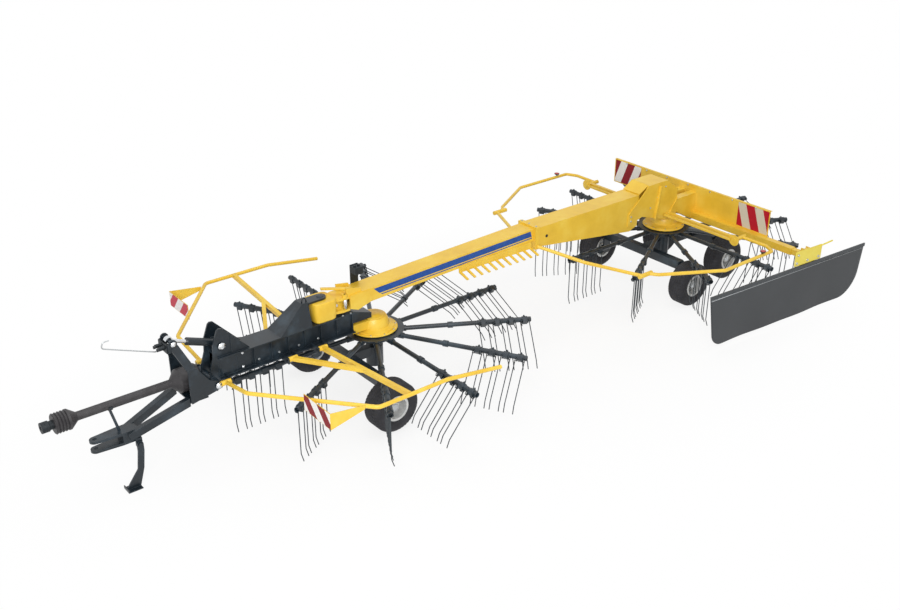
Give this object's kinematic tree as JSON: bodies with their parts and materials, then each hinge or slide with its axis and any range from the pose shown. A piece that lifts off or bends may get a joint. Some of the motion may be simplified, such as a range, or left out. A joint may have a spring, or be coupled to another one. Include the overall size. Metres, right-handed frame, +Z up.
{
  "type": "twin rotor hay rake",
  "caption": "Trailed twin rotor rake with tine rotors in line under a swinging boom, laying one swath to the left against a hanging curtain; parks on a folding stand.",
  "frame": {"origin": "on the ground below the middle of the machine's box", "axes": "+X forward to the hitch, +Y to the machine's left, +Z up"},
  "size_m": [8.2766, 3.1612, 1.2801],
  "materials": {
    "yellow_paint": "gloss yellow paint",
    "black_paint": "satin blue-black paint",
    "board_paint": "paint with striped foil",
    "dark_steel": "phosphated dark steel",
    "bright_steel": "zinc plated",
    "chrome_rod": "hard chrome",
    "spring_steel": "dark painted spring steel",
    "guard_plastic": "moulded black",
    "tyre_rubber": "matte",
    "rim_paint": "silver paint",
    "curtain_cloth": "coated cloth",
    "rail_aluminium": "mill finish strip"
  },
  "bodies": {
    "chassis": {"front_frame": "black_paint", "front_gear_cover": "yellow_paint", "front_axle": "black_paint"},
    "drawbar": {"headstock": "black_paint", "drawbar": "black_paint", "hitch_clevis": "black_paint", "drive_shaft_guard": "guard_plastic", "drive_shaft_yoke": "dark_steel", "hose_couplers": "dark_steel", "hose_hook_rod": "bright_steel"},
    "stand": {"stand": "black_paint"},
    "height_barrel": {"height_cylinder_barrel": "black_paint"},
    "height_rod": {"height_cylinder_rod": "chrome_rod"},
    "boom": {"boom_pivot_head": "yellow_paint", "boom_front": "yellow_paint", "boom_rear": "yellow_paint", "boom_comb": "yellow_paint", "boom_valve_block": "dark_steel", "rear_tower": "yellow_paint", "rear_gear_cover": "yellow_paint", "rear_mast": "black_paint", "rear_carrier": "yellow_paint", "warning_panel": "board_paint", "rear_guard_arms": "yellow_paint"},
    "rear_bogie": {"rear_bogie": "black_paint"},
    "front_rotor": {"front_rotor_hub": "black_paint", "front_rotor_arms": "black_paint", "front_tine_bars": "spring_steel"},
    "rear_rotor": {"rear_rotor_hub": "black_paint", "rear_rotor_arms": "black_paint", "rear_tine_bars": "spring_steel"},
    "front_guard_left": {"front_guard_left": "yellow_paint", "sign_left": "board_paint"},
    "front_guard_right": {"front_guard_right": "yellow_paint", "sign_right": "board_paint"},
    "rear_guard_left": {"rear_guard_left": "yellow_paint"},
    "rear_guard_right": {"rear_guard_right": "yellow_paint"},
    "curtain_arm": {"curtain_arm": "yellow_paint"},
    "curtain": {"curtain_holder": "yellow_paint", "curtain_sheet": "curtain_cloth", "curtain_rail": "rail_aluminium"},
    "front_left_wheel": {"front_left_tyre": "tyre_rubber", "front_left_rim": "rim_paint"},
    "front_right_wheel": {"front_right_tyre": "tyre_rubber", "front_right_rim": "rim_paint"},
    "bogie_front_left_wheel": {"bogie_front_left_tyre": "tyre_rubber", "bogie_front_left_rim": "rim_paint"},
    "bogie_front_right_wheel": {"bogie_front_right_tyre": "tyre_rubber", "bogie_front_right_rim": "rim_paint"},
    "bogie_back_left_wheel": {"bogie_back_left_tyre": "tyre_rubber", "bogie_back_left_rim": "rim_paint"},
    "bogie_back_right_wheel": {"bogie_back_right_tyre": "tyre_rubber", "bogie_back_right_rim": "rim_paint"}
  },
  "joints": [
    {"name": "drawbar_pitch", "type": "hinge", "parent": "chassis", "child": "drawbar", "pos_m": [2.78632, -0.11365, 0.69], "axis": [0, -1, 0], "range_deg": [-8, 8]},
    {"name": "height_barrel_turn", "type": "hinge", "parent": "chassis", "child": "height_barrel", "pos_m": [2.68632, -0.11365, 0.97], "axis": [0, -1, 0], "range_deg": [-9.15, 9.15]},
    {"name": "height_rod_slide", "type": "slide", "parent": "height_barrel", "child": "height_rod", "axis": [0.9349, 0, 0.355], "range_m": [-0.0444, 0.0444]},
    {"name": "stand_fold", "type": "hinge", "parent": "drawbar", "child": "stand", "pos_m": [3.45632, -0.02165, 0.372], "axis": [0, 1, 0], "range_deg": [0, 92]},
    {"name": "boom_swing", "type": "hinge", "parent": "chassis", "child": "boom", "pos_m": [1.70632, -0.11365, 0.88], "axis": [0, 0, -1], "range_deg": [-12, 40]},
    {"name": "rear_steer", "type": "hinge", "parent": "boom", "child": "rear_bogie", "pos_m": [-2.69969, -0.11365, 0.455], "axis": [0, 0, 1], "range_deg": [-40, 40]},
    {"name": "front_rotor_spin", "type": "hinge", "parent": "chassis", "child": "front_rotor", "pos_m": [1.16631, -0.11365, 0.577], "axis": [0, 0, 1], "continuous": true},
    {"name": "rear_rotor_spin", "type": "hinge", "parent": "boom", "child": "rear_rotor", "pos_m": [-2.69969, -0.11365, 0.577], "axis": [0, 0, 1], "continuous": true},
    {"name": "front_guard_left_fold", "type": "hinge", "parent": "chassis", "child": "front_guard_left", "pos_m": [2.74132, 0.10135, 0.72], "axis": [1, 0, 0], "range_deg": [0, 85]},
    {"name": "front_guard_right_fold", "type": "hinge", "parent": "chassis", "child": "front_guard_right", "pos_m": [2.74132, -0.32865, 0.72], "axis": [-1, 0, 0], "range_deg": [0, 85]},
    {"name": "rear_guard_left_fold", "type": "hinge", "parent": "boom", "child": "rear_guard_left", "pos_m": [-1.23368, 0.92635, 0.8], "axis": [1, 0, 0], "range_deg": [0, 95]},
    {"name": "rear_guard_right_fold", "type": "hinge", "parent": "boom", "child": "rear_guard_right", "pos_m": [-1.23368, -1.15365, 0.8], "axis": [-1, 0, 0], "range_deg": [0, 95]},
    {"name": "curtain_slide", "type": "slide", "parent": "boom", "child": "curtain_arm", "axis": [0, 1, 0], "range_m": [0, 0.5]},
    {"name": "curtain_fold", "type": "hinge", "parent": "curtain_arm", "child": "curtain", "pos_m": [-3.02669, 1.46535, 0.743], "axis": [0.9973, -0.0732, 0], "range_deg": [0, 88]},
    {"name": "front_left_roll", "type": "hinge", "parent": "chassis", "child": "front_left_wheel", "pos_m": [1.45931, 0.53735, 0.2285], "axis": [0, 1, 0], "continuous": true},
    {"name": "front_right_roll", "type": "hinge", "parent": "chassis", "child": "front_right_wheel", "pos_m": [1.45931, -0.76465, 0.2285], "axis": [0, 1, 0], "continuous": true},
    {"name": "bogie_front_left_roll", "type": "hinge", "parent": "rear_bogie", "child": "bogie_front_left_wheel", "pos_m": [-2.39468, 0.54135, 0.2285], "axis": [0, 1, 0], "continuous": true},
    {"name": "bogie_front_right_roll", "type": "hinge", "parent": "rear_bogie", "child": "bogie_front_right_wheel", "pos_m": [-2.39468, -0.76865, 0.2285], "axis": [0, 1, 0], "continuous": true},
    {"name": "bogie_back_left_roll", "type": "hinge", "parent": "rear_bogie", "child": "bogie_back_left_wheel", "pos_m": [-3.21969, 0.33135, 0.2285], "axis": [0, 1, 0], "continuous": true},
    {"name": "bogie_back_right_roll", "type": "hinge", "parent": "rear_bogie", "child": "bogie_back_right_wheel", "pos_m": [-3.21969, -0.55865, 0.2285], "axis": [0, 1, 0], "continuous": true}
  ],
  "couplings": [
    {"joint": "height_barrel_turn", "follows": "drawbar_pitch", "ratio": 1.0189},
    {"joint": "height_rod_slide", "follows": "drawbar_pitch", "m_per_rad": -0.29625}
  ]
}
